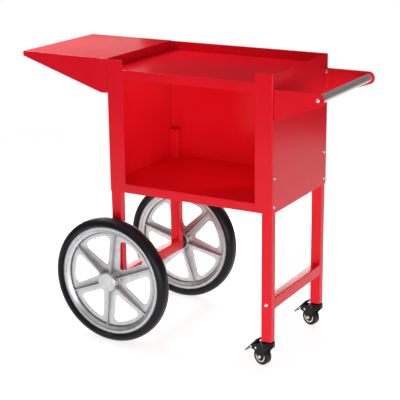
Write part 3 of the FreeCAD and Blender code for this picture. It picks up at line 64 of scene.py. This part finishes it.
class Shader:
    """A node material with its Principled shader, and short ways to add nodes."""

    def __init__(self, name, **values):
        self.material = bpy.data.materials.new(name)
        self.material.use_nodes = True
        self.tree = self.material.node_tree
        self.surface = self.tree.nodes["Principled BSDF"]
        for socket, value in values.items():
            self.surface.inputs[socket.replace("_", " ")].default_value = value
        self.place = self.add("ShaderNodeTexCoord").outputs["Object"]
        self.height = None

    def add(self, kind, **settings):
        node = self.tree.nodes.new(kind)
        for key, value in settings.items():
            setattr(node, key, value)
        return node

    def link(self, source, target):
        self.tree.links.new(source, target)

    def stretched(self, x, y, z):
        """Object coordinates scaled along each axis."""
        mapping = self.add("ShaderNodeMapping")
        mapping.inputs["Scale"].default_value = (x, y, z)
        self.link(self.place, mapping.inputs["Vector"])
        return mapping.outputs["Vector"]

    def noise(self, scale, detail=3.0, roughness=0.5, place=None):
        node = self.add("ShaderNodeTexNoise")
        node.inputs["Scale"].default_value = scale
        node.inputs["Detail"].default_value = detail
        node.inputs["Roughness"].default_value = roughness
        self.link(place or self.place, node.inputs["Vector"])
        return node.outputs["Fac"]

    def ramp(self, value, low, high, start=0.3, end=0.7):
        """Spreads a value between two numbers or colours."""
        if isinstance(low, (int, float)):
            node = self.add("ShaderNodeMapRange")
            set_range(node, start, end, low, high)
            self.link(value, node.inputs["Value"])
            return node.outputs["Result"]
        node = self.add("ShaderNodeValToRGB")
        for element, spot, colour in zip(node.color_ramp.elements, (start, end), (low, high)):
            element.position = spot
            element.color = (*colour, 1)
        self.link(value, node.inputs["Fac"])
        return node.outputs["Color"]

    def colour(self, value, low, high, start=0.3, end=0.7):
        self.link(self.ramp(value, low, high, start, end), self.surface.inputs["Base Color"])

    def paint_crease_shade(self, reach, dark):
        """Paints shade into the colour in corners and creases, out to a distance in metres: a painted crease
        shadow taken from ambient occlusion.
        """
        hollow = self.add("ShaderNodeAmbientOcclusion", samples=8)
        hollow.inputs["Distance"].default_value = reach
        painted_shade = self.ramp(hollow.outputs["AO"], dark, 1.0, 0.35, 0.95)
        blend = self.add("ShaderNodeMix", data_type="RGBA", blend_type="MULTIPLY")
        blend.inputs["Factor"].default_value = 1
        colour = self.surface.inputs["Base Color"]
        self.link(colour.links[0].from_socket, blend.inputs["A"])
        self.link(painted_shade, blend.inputs["B"])
        self.link(blend.outputs["Result"], colour)

    def rough(self, value, low, high, start=0.3, end=0.7):
        self.link(self.ramp(value, low, high, start, end), self.surface.inputs["Roughness"])

    def bump(self, value, depth, strength=1.0):
        """Adds a layer of relief of a depth in metres."""
        node = self.add("ShaderNodeBump")
        node.inputs["Distance"].default_value = depth
        node.inputs["Strength"].default_value = strength
        self.link(value, node.inputs["Height"])
        if self.height is not None:
            self.link(self.height, node.inputs["Normal"])
        self.height = node.outputs["Normal"]
        self.link(self.height, self.surface.inputs["Normal"])


def red_enamel():
    """Gloss powder coat with fine orange peel and faint clouding."""
    m = Shader("red_enamel", IOR=1.3)
    m.colour(m.noise(9, 3), (0.74, 0.0055, 0.016), (0.80, 0.0070, 0.020))
    m.rough(m.noise(35, 4), 0.17, 0.23)
    m.bump(m.noise(260, 1), 0.00003, 0.1)
    return m.material


def silver_plastic():
    """Moulded plastic with a metallic silver lacquer."""
    m = Shader("silver_plastic", Metallic=0.8)
    m.colour(m.noise(60, 4), (0.56, 0.563, 0.57), (0.66, 0.663, 0.67), 0.35, 0.65)
    # Painted shade: the wheels' creases, hub and the foot of the rim's step are darkened in the colour.
    m.paint_crease_shade(0.014, 0.22)
    m.rough(m.noise(90, 4), 0.3, 0.38)
    m.bump(m.noise(160, 2), 0.00006, 0.12)
    return m.material


def tyre_rubber():
    """Dark rubber with a dusty bloom and fine mould grain."""
    m = Shader("tyre_rubber", IOR=1.26)
    m.colour(m.noise(24, 6, 0.6), (0.006, 0.006, 0.008), (0.012, 0.012, 0.015))
    m.rough(m.noise(45, 5), 0.3, 0.42)
    m.bump(m.noise(900, 2), 0.00006, 0.2)
    return m.material


def grip_metal():
    """Satin tube, drawn lengthwise."""
    m = Shader("grip_metal", Metallic=0.6, Anisotropic=0.3)
    along = m.noise(1.0, 5, 0.6, m.stretched(1500, 22, 1500))
    m.colour(along, (0.62, 0.56, 0.56), (0.72, 0.66, 0.66))
    m.rough(along, 0.30, 0.42)
    m.bump(along, 0.00002, 0.3)
    return m.material


def zinc_steel():
    """Bright zinc plate with faint yellowing."""
    m = Shader("zinc_steel", Metallic=1.0)
    m.colour(m.noise(160, 4), (0.70, 0.70, 0.71), (0.80, 0.79, 0.76))
    m.rough(m.noise(400, 4), 0.18, 0.32)
    m.bump(m.noise(1400, 3), 0.00002, 0.4)
    return m.material


def black_steel():
    """Satin black coating on pressed steel."""
    m = Shader("black_steel", IOR=1.28)
    m.colour(m.noise(90, 5), (0.003, 0.003, 0.004), (0.008, 0.008, 0.009))
    m.rough(m.noise(240, 4), 0.14, 0.24)
    m.bump(m.noise(600, 2), 0.00004, 0.2)
    return m.material


def roller_rubber():
    """Dense black tread with scuffs."""
    m = Shader("roller_rubber", IOR=1.3)
    m.colour(m.noise(130, 6, 0.6), (0.006, 0.006, 0.007), (0.016, 0.016, 0.018))
    m.rough(m.noise(200, 5), 0.3, 0.48)
    m.bump(m.noise(1600, 3), 0.00006, 0.4)
    return m.material


def black_plastic():
    """Moulded black plastic with a fine spark-eroded texture."""
    m = Shader("black_plastic", IOR=1.3)
    m.colour(m.noise(70, 4), (0.005, 0.005, 0.006), (0.012, 0.012, 0.013))
    m.rough(m.noise(300, 3), 0.3, 0.45)
    m.bump(m.noise(900, 2), 0.00004, 0.3)
    return m.material


FINISH = {make.__name__: make() for make in (
    red_enamel, silver_plastic, tyre_rubber, grip_metal, zinc_steel, black_steel, roller_rubber,
    black_plastic)}


# ---------------------------------------------------------------- mesh tools

WELD = 2e-6
FLAT_ANGLE = math.radians(0.4)
SHARP_ANGLE = math.radians(30)


def coat(mesh, slot):
    """Gives a mesh the finish of a material slot."""
    mesh.materials.clear()
    mesh.materials.append(FINISH[slot])


def add_piece(name, mesh, nodes):
    """Adds a piece that stands for CAD nodes of one body and finish."""
    piece = bpy.data.objects.new(name, mesh)
    bpy.context.scene.collection.objects.link(piece)
    coat(mesh, SLOT_OF[nodes[0]])
    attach(piece, BODY_OF[nodes[0]])
    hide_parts(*nodes)
    return piece


def welded(node):
    """A bmesh copy of a CAD node, in metres, with its faces joined up."""
    shape = bmesh.new()
    shape.from_mesh(NODES[node].data)
    bmesh.ops.remove_doubles(shape, verts=shape.verts, dist=WELD)
    return shape


def to_mesh(shape, name):
    """Turns a bmesh into a mesh."""
    mesh = bpy.data.meshes.new(name)
    shape.to_mesh(mesh)
    shape.free()
    return mesh


def smooth(shape):
    """Smooth shading, with hard edges left sharp."""
    for face in shape.faces:
        face.smooth = True
    for edge in shape.edges:
        edge.smooth = edge.calc_face_angle(0) < SHARP_ANGLE


def drawn(shape, name):
    """Turns a bmesh drawn in millimetres into a mesh in metres, its faces outwards."""
    bmesh.ops.recalc_face_normals(shape, faces=shape.faces)
    smooth(shape)
    mesh = to_mesh(shape, name)
    mesh.transform(Matrix.Scale(MM, 4))
    return mesh


def combined(mesh, other, operation):
    """The union of two meshes, or their difference. Both meshes are used up."""
    base = bpy.data.objects.new("base", mesh)
    tool = bpy.data.objects.new("tool", other)
    for thing in (base, tool):
        bpy.context.scene.collection.objects.link(thing)
    step = base.modifiers.new("combine", "BOOLEAN")
    step.solver = "EXACT"
    step.operation = operation
    step.object = tool
    step.use_self = True
    view = bpy.context.evaluated_depsgraph_get()
    result = bpy.data.meshes.new_from_object(base.evaluated_get(view))
    for thing in (base, tool):
        bpy.data.objects.remove(thing)
    for old in (mesh, other):
        bpy.data.meshes.remove(old)
    return result


def unit(turn):
    """The flat unit vector at an angle."""
    return Vector((math.cos(turn), math.sin(turn)))


def arc(centre, radius, start, end, steps=4):
    """Points of an arc between two angles in degrees."""
    turns = [math.radians(start + (end - start) * k / steps) for k in range(steps + 1)]
    return [(centre[0] + radius * math.cos(t), centre[1] + radius * math.sin(t)) for t in turns]


def flipped(points):
    """A profile's mirror image in the middle plane, walked backwards."""
    return [(r, -h) for r, h in reversed(points)]


def spin(shape, profile, count, closed=True):
    """Turns a profile of radius and height about Z. Gives its rings of vertices."""
    turns = [2 * math.pi * k / count for k in range(count)]
    rings = [[shape.verts.new((r * math.cos(t), r * math.sin(t), h)) for t in turns] for r, h in profile]
    pairs = list(zip(rings, rings[1:]))
    if closed:
        pairs.append((rings[-1], rings[0]))
    for a, b in pairs:
        for k in range(count):
            after = (k + 1) % count
            shape.faces.new((a[k], a[after], b[after], b[k]))
    return rings


def loft(shape, sections):
    """A closed skin through sections of equal length."""
    rows = [[shape.verts.new(p) for p in section] for section in sections]
    for a, b in zip(rows, rows[1:]):
        for k in range(len(a)):
            after = (k + 1) % len(a)
            shape.faces.new((a[k], a[after], b[after], b[k]))
    shape.faces.new(rows[0][::-1])
    shape.faces.new(rows[-1])


def loft_outwards(shape, turn, stations):
    """Lofts a bar along a radius of the wheel; each section is points across and up at a reach."""
    along = unit(turn).to_3d()
    across = Vector((-along.y, along.x, 0))
    loft(shape, [[along * reach + across * t + Vector((0, 0, h)) for t, h in section]
                 for reach, section in stations])


# ---------------------------------------------------------------- large wheels
# In millimetres, turned about Z: radius, and height outwards from the wheel's middle plane.

SPOKES = 6
HUB_RIBS = 12
WHEEL_FACETS = 144
TYRE_FACETS = 192
SPOKE_PHASE = {"front": math.radians(22.7), "rear": math.radians(47.0)}

WEB_HALF = 1.75
WINDOW_R = 126.0
SPOKE_HALF = 17.0
WINDOW_CORNER = 12.0
WINDOW_ROUND = 0.8
WINDOW_FACE = [(WINDOW_ROUND * (math.cos(math.radians(a)) - 1),
                WEB_HALF - WINDOW_ROUND + WINDOW_ROUND * math.sin(math.radians(a))) for a in (90, 60, 30, 0)]

WEB_LINE = [(136.5, WEB_HALF), (137.4, 0.6), (138.3, 0.6)]
STEP = arc((137.0, 3.6), 2.2, -30, -4, 2) + arc((139.9, 6.6), 0.9, 170, 125, 3)
LIP_LINE = [(146.6, 12.35), (147.0, 11.7), (148.0, 12.5), (148.3, 13.5)]
RIM_FACE = arc((149.8, 13.0), 1.0, 125, 90, 2) + arc((156.7, 13.2), 0.8, 90, 0)
TYRE_SEAT = [(157.5, 11.5), (152.0, 11.5)]
RIM = WEB_LINE + STEP + LIP_LINE + RIM_FACE + TYRE_SEAT

BARREL = (arc((31.0, 6.25), 4.5, -90, -180, 5) + arc((25.7, 21.2), 0.8, 0, 90, 3)
          + arc((24.3, 21.2), 0.8, 90, 180, 3) + arc((22.0, 3.25), 1.5, 0, -90, 3)
          + arc((15.0, 3.25), 1.5, -90, -180, 3))
SLEEVE = (arc((12.9, 9.4), 0.6, 0, 90, 3) + arc((10.6, 9.4), 0.6, 90, 180, 3)
          + arc((10.6, -21.4), 0.6, 180, 270, 3) + arc((12.9, -21.4), 0.6, 270, 360, 3))

RIB_REACHES = (25.0, 27.0, 28.2, 30.0, 34.0, 60.0, 100.0, 128.0, 136.0, 138.5, 141.6)
RIB_START, RIB_LENGTH = 25, 117
RIB_TALL, RIB_FALL = 20, 13
RIB_HALF = 1.6
HUB_FLARE_R, HUB_FLARE = 31, 0.05
RIM_FLARE_R, RIM_FLARE = 136, 0.25

HUB_RIB_REACHES = (12.6, 24.4)
HUB_RIB_SECTION = [(0.5, 8.0), (0.8, 7.6), (0.8, -19.6), (0.5, -20.0),
                   (-0.5, -20.0), (-0.8, -19.6), (-0.8, 7.6), (-0.5, 8.0)]

CROWN = [(181.0, 0.3), (180.75, 0.6), (180.75, 4.5)]
SHOULDER = arc((161.95, 4.5), 18.8, 8, 80, 9)
BEAD = [(166.0, 23.3), (165.6, 22.95), (165.1, 23.3), (163.0, 23.35), (161.9, 22.9), (161.4, 21.9),
        (159.6, 17.0), (158.2, 14.1), (157.55, 13.2), (157.55, 11.4), (152.05, 11.4)]
TYRE = CROWN + SHOULDER + BEAD


def window_outline(inset):
    """Points round the first window, moved into it by a number of millimetres."""
    share = 2 * math.pi / SPOKES
    corner = WINDOW_CORNER - inset
    side = SPOKE_HALF + inset + corner
    outer = WINDOW_R - inset
    apex = Vector((side / math.tan(share / 2), side))
    low = Vector((math.sqrt((outer - corner) ** 2 - side ** 2), side))
    low_turn = math.atan2(low.y, low.x)
    at_hub = [apex + corner * unit(math.radians(210 + 60 * k / 8)) for k in range(9)]
    at_rim = [low + corner * unit(-math.pi / 2 + (low_turn + math.pi / 2) * k / 10) for k in range(11)]
    outside = [outer * unit(low_turn + (share - 2 * low_turn) * k / 14) for k in range(1, 14)]
    flip = Matrix(((math.cos(share), math.sin(share)), (math.sin(share), -math.cos(share))))
    return at_hub + at_rim + outside + [flip @ p for p in reversed(at_rim)]


def add_window_wall(shape, turn):
    """The rounded wall of one window. Gives its first and last loop of vertices."""
    loops = [[shape.verts.new((*(turn @ p), height)) for p in window_outline(inset)]
             for inset, height in WINDOW_FACE + flipped(WINDOW_FACE)]
    for a, b in zip(loops, loops[1:]):
        for k in range(len(a)):
            after = (k + 1) % len(a)
            shape.faces.new((a[k], b[k], b[after], a[after]))
    return loops[0], loops[-1]


def fill_web(shape, borders):
    """One flat face of the web, between the rim, the hub and the windows."""
    edges = []
    for border in borders:
        for pair in zip(border, border[1:] + border[:1]):
            edges.append(shape.edges.get(pair) or shape.edges.new(pair))
    bmesh.ops.triangle_fill(shape, edges=edges, use_beauty=True, use_dissolve=False)


def add_rib(shape, turn):
    """A spoke's rib on both faces of the web: tapered, with a rounded top and a flared foot."""
    stations = []
    for reach in RIB_REACHES:
        tall = RIB_TALL - RIB_FALL * (reach - RIB_START) / RIB_LENGTH
        half = (RIB_HALF + max(0, HUB_FLARE_R - reach) ** 2 * HUB_FLARE
                + max(0, reach - RIM_FLARE_R) * RIM_FLARE)
        quarter = [(half - 0.8, tall), (half - 0.25, tall - 0.25), (half, tall - 0.9), (half, 4.2),
                   (half + 0.35, 2.9), (half + 1.0, 2.1), (half + 2.0, 1.6)]
        side = quarter + flipped(quarter)
        stations.append((reach, side + [(-t, h) for t, h in reversed(side)]))
    loft_outwards(shape, turn, stations)


def moulded_wheel():
    """Rim, web and hub as one skin, joined with the spokes' ribs and the ribs inside the hub."""
    shape = bmesh.new()
    rim = spin(shape, RIM + flipped(RIM), WHEEL_FACETS, closed=False)
    hub = spin(shape, BARREL + SLEEVE + flipped(BARREL), WHEEL_FACETS, closed=False)
    spoke_turns = [math.radians(360 / SPOKES * k) for k in range(SPOKES)]
    windows = [add_window_wall(shape, Matrix.Rotation(turn, 2)) for turn in spoke_turns]
    for side in (0, -1):
        fill_web(shape, [rim[side], hub[side], *(window[side] for window in windows)])
    body = drawn(shape, "wheel_body")
    shape = bmesh.new()
    for turn in spoke_turns:
        add_rib(shape, turn)
    for k in range(HUB_RIBS):
        loft_outwards(shape, math.radians(360 / HUB_RIBS * (k + 0.5)),
                      [(reach, HUB_RIB_SECTION) for reach in HUB_RIB_REACHES])
    return combined(body, drawn(shape, "wheel_ribs"), "UNION")


def tyre_moulding():
    """A smooth tyre with a mould line round its crown and a bead line at the rim."""
    shape = bmesh.new()
    spin(shape, TYRE[::-1] + flipped(TYRE[::-1]), TYRE_FACETS)
    return drawn(shape, "tyre_skin")


def on_axle(mesh, end):
    """A copy of a mesh turned about Z, put on a large wheel's axle with its +Z outwards."""
    low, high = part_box(f"{end}_tyre")
    centre = (Vector(low) + Vector(high)) / 2
    outwards = Vector((0, -1 if end == "front" else 1, 0))
    first = Vector((math.cos(SPOKE_PHASE[end]), 0, math.sin(SPOKE_PHASE[end])))
    turn = Matrix((first, outwards.cross(first), outwards)).transposed()
    placed = mesh.copy()
    placed.transform(Matrix.Translation(centre) @ turn.to_4x4())
    return placed


wheel_mesh = moulded_wheel()
tyre_mesh = tyre_moulding()
for end in SPOKE_PHASE:
    add_piece(f"{end}_wheel_moulding", on_axle(wheel_mesh, end), [f"{end}_wheel_rim", f"{end}_wheel_spokes"])
    add_piece(f"{end}_tyre_moulding", on_axle(tyre_mesh, end), [f"{end}_tyre"])


# ---------------------------------------------------------------- rounded pieces

ROUNDED = {
    0.3: ["left_side_panel", "right_side_panel", "rear_panel", "cabinet_floor", "top_tray", "side_shelf"],
    0.35: ["front_left_leg", "rear_left_leg", "front_right_leg", "rear_right_leg",
           "left_crossbar", "right_crossbar"],
    0.5: ["front_handle_bracket", "rear_handle_bracket", "front_hub_cap", "rear_hub_cap"],
    0.4: ["handle_tube", "front_leg_plug", "rear_leg_plug"],
    0.45: [f"{end}_caster_{part}" for end in SPOKE_PHASE for part in ("fork", "brake_pedal", "upper_race")],
}


def add_rounded(node, radius):
    """Adds a copy of a CAD node with its hard edges rounded by a radius in millimetres."""
    shape = welded(node)
    bmesh.ops.dissolve_limit(shape, angle_limit=FLAT_ANGLE, verts=shape.verts, edges=shape.edges)
    smooth(shape)
    name = f"{node}_finished"
    piece = add_piece(name, to_mesh(shape, name), [node])
    edge = piece.modifiers.new("rounded_edges", "BEVEL")
    edge.width = radius * MM
    edge.segments = 2
    edge.limit_method = "ANGLE"
    edge.angle_limit = SHARP_ANGLE
    edge.use_clamp_overlap = False
    edge.miter_outer = "MITER_ARC"
    edge.harden_normals = True


for edge_radius, names in ROUNDED.items():
    for name in names:
        add_rounded(name, edge_radius)


# ---------------------------------------------------------------- screws

SCREWS = ("leg_bolts", "shelf_bolts", "bracket_bolts", "handle_bolts", "crossbar_bolts")
# A domed head ends in a vertex within POLE_OFF of the axis, with another within POLE_NEAR of it.
POLE_OFF, POLE_NEAR = 0.3, 3
CROSS_HALF, CROSS_ARM = 0.65, 2.7
CROSS_TURN = math.radians(38)
CROSS_LEVELS = ((0.55, -1.5), (1.1, 0.5))


def solids(shape):
    """The points in millimetres of each separate solid of a bmesh."""
    seen = set()
    for start in shape.verts:
        if start in seen:
            continue
        seen.add(start)
        island = [start]
        for vert in island:
            for other in (edge.other_vert(vert) for edge in vert.link_edges):
                if other not in seen:
                    seen.add(other)
                    island.append(other)
        yield [vert.co / MM for vert in island]


def add_cross(shape, middle, axis, tip, way):
    """The cutter of one cross recess, tapered inwards from a head's tip along an axis."""
    arm, half = CROSS_ARM, CROSS_HALF
    outline = [(arm, -half), (arm, half), (half, half), (half, arm), (-half, arm), (-half, half),
               (-arm, half), (-arm, -half), (-half, -half), (-half, -arm), (half, -arm), (half, -half)]
    across, up = [k for k in range(3) if k != axis]
    cos, sin = math.cos(CROSS_TURN), math.sin(CROSS_TURN)
    sections = []
    for scale, level in CROSS_LEVELS:
        section = []
        for a, b in outline:
            point = [0, 0, 0]
            point[axis] = tip + way * level
            point[across] = middle[across] + scale * (a * cos - b * sin)
            point[up] = middle[up] + scale * (a * sin + b * cos)
            section.append(point)
        sections.append(section)
    loft(shape, sections)


def add_screws(node):
    """Adds a copy of a screw node with a cross recess in each domed head."""
    shape = welded(node)
    cutters = bmesh.new()
    for points in solids(shape):
        low = Vector([min(p[k] for p in points) for k in range(3)])
        high = Vector([max(p[k] for p in points) for k in range(3)])
        middle, extent = (low + high) / 2, high - low
        axis = max(range(3), key=lambda k: extent[k])
        for tip, way in ((low, -1), (high, 1)):
            pole = min(points, key=lambda p: abs(p[axis] - tip[axis]))
            off = Vector([0 if k == axis else pole[k] - middle[k] for k in range(3)]).length
            if off < POLE_OFF and min((p - pole).length for p in points if p != pole) < POLE_NEAR:
                add_cross(cutters, middle, axis, tip[axis], way)
    bmesh.ops.recalc_face_normals(shape, faces=shape.faces)
    mesh = combined(to_mesh(shape, f"{node}_plain"), drawn(cutters, f"{node}_recesses"), "DIFFERENCE")
    for face in mesh.polygons:
        face.use_smooth = True
    mesh.set_sharp_from_angle(angle=SHARP_ANGLE)
    add_piece(f"{node}_finished", mesh, [node])


for node in SCREWS:
    add_screws(node)

for name, node in NODES.items():
    coat(node.data, SLOT_OF[name])


# ---------------------------------------------------------------- studio

FLOOR_R = 2.6
FLOOR_RINGS = 24
FLOOR_FACETS = 96
FLOOR_GLOW = 0.78
AIR = (("Y", -0.6, 0.8, 0.12, 0.0), ("Z", 0.35, 0.95, 0.03, 0.62))
WHITE, WARM = (1, 1, 1), (1, 0.9, 0.5)
LAMPS = {
    "key": ((2.1, -3.0, 0.49), (0, 0, 0.6), (3.8, 0.9), 6.4, WHITE),
    "cabinet_light": ((0.19, -0.14, 0.60), (-0.08, 0.17, 0.79), (0.2, 0.1), 5.5, WARM),
    "shelf_glow": ((-1.4, 1.05, 1.15), (-0.3, 0, 0.8), (1.0, 0.55), 0.42, WHITE),
    "low_glow": ((-0.5, 1.05, 0.5), (0, 0, 0.2), (1.6, 0.42), 5.0, WHITE),
    "above_shelf": ((-0.95, 0.1, 1.6), (-0.35, 0, 0.8), (0.6, 0.6), 12.0, WHITE),
}
CAMERA_PLACE = (1.6156, -2.8249, 1.3597)
AZIMUTH, ELEVATION, ROLL = math.radians(29.21), math.radians(16.3), math.radians(-0.52)


def make_floor():
    """A round pale floor that glows, so that it stays white."""
    turns = [2 * math.pi * k / FLOOR_FACETS for k in range(FLOOR_FACETS)]
    shape = bmesh.new()
    middle = shape.verts.new((0, 0, 0))
    last = None
    for ring in range(1, FLOOR_RINGS + 1):
        reach = FLOOR_R * ring / FLOOR_RINGS
        row = [shape.verts.new((reach * math.cos(t), reach * math.sin(t), 0)) for t in turns]
        for k in range(FLOOR_FACETS):
            after = (k + 1) % FLOOR_FACETS
            if last is None:
                shape.faces.new((middle, row[k], row[after]))
            else:
                shape.faces.new((last[k], row[k], row[after], last[after]))
        last = row
    floor = bpy.data.objects.new("studio_floor", to_mesh(shape, "studio_floor"))
    bpy.context.scene.collection.objects.link(floor)
    m = Shader("studio_floor", IOR=1.1, Emission_Color=(1, 1, 1, 1), Emission_Strength=FLOOR_GLOW)
    m.colour(m.noise(3, 2), (0.44, 0.44, 0.44), (0.46, 0.46, 0.46))
    m.rough(m.noise(5, 2), 0.8, 0.9)
    floor.data.materials.append(m.material)


def add_light(name, place, target, size, radiance, colour):
    """A soft box that the camera itself does not see, of a radiance beside a white of 1."""
    data = bpy.data.lights.new(name, "AREA")
    data.shape = "RECTANGLE"
    data.size, data.size_y = size
    data.energy = radiance * math.pi * size[0] * size[1]
    data.color = colour
    light = bpy.data.objects.new(name, data)
    bpy.context.scene.collection.objects.link(light)
    light.location = place
    light.visible_camera = False
    direction = Vector(target) - Vector(place)
    light.rotation_mode = "QUATERNION"
    light.rotation_quaternion = direction.to_track_quat("-Z", "Y")


def make_world():
    """White where it is seen. It lights the cart from above, and a little from in front."""
    world = bpy.data.worlds.new("studio_air")
    world.use_nodes = True
    tree = world.node_tree
    sky = tree.nodes["Background"]
    sky.inputs["Color"].default_value = (1, 1, 1, 1)
    place = tree.nodes.new("ShaderNodeTexCoord")
    split = tree.nodes.new("ShaderNodeSeparateXYZ")
    tree.links.new(place.outputs["Generated"], split.inputs["Vector"])
    total = tree.nodes.new("ShaderNodeMath")
    total.operation = "ADD"
    for (axis, *numbers), target in zip(AIR, total.inputs):
        spread = tree.nodes.new("ShaderNodeMapRange")
        spread.interpolation_type = "SMOOTHSTEP"
        set_range(spread, *numbers)
        tree.links.new(split.outputs[axis], spread.inputs["Value"])
        tree.links.new(spread.outputs["Result"], target)
    direct = tree.nodes.new("ShaderNodeLightPath")
    pick = tree.nodes.new("ShaderNodeMix")
    pick.data_type = "FLOAT"
    factor, lighting, seen = pick.inputs[0], pick.inputs[2], pick.inputs[3]
    tree.links.new(direct.outputs["Is Camera Ray"], factor)
    tree.links.new(total.outputs["Value"], lighting)
    seen.default_value = 1.0
    tree.links.new(pick.outputs[0], sky.inputs["Strength"])
    bpy.context.scene.world = world


def make_camera():
    """The photo's view, solved from the cabinet's straight edges."""
    forward = Vector((-math.sin(AZIMUTH) * math.cos(ELEVATION), math.cos(AZIMUTH) * math.cos(ELEVATION),
                      -math.sin(ELEVATION)))
    level = forward.cross(Vector((0, 0, 1))).normalized()
    above = level.cross(forward)
    right = math.cos(ROLL) * level + math.sin(ROLL) * above
    up = math.cos(ROLL) * above - math.sin(ROLL) * level
    data = bpy.data.cameras.new("photo_camera")
    data.sensor_width = 36
    data.lens = 107.37
    data.shift_x = -0.0211
    data.shift_y = -0.0203
    data.clip_start, data.clip_end = 0.1, 50
    camera = bpy.data.objects.new("photo_camera", data)
    bpy.context.scene.collection.objects.link(camera)
    turn = Matrix((right, up, -forward)).transposed()
    camera.matrix_world = Matrix.Translation(CAMERA_PLACE) @ turn.to_4x4()
    bpy.context.scene.camera = camera


make_world()
make_floor()
for name, settings in LAMPS.items():
    add_light(name, *settings)
make_camera()

bpy.context.scene.view_settings.view_transform = "Standard"
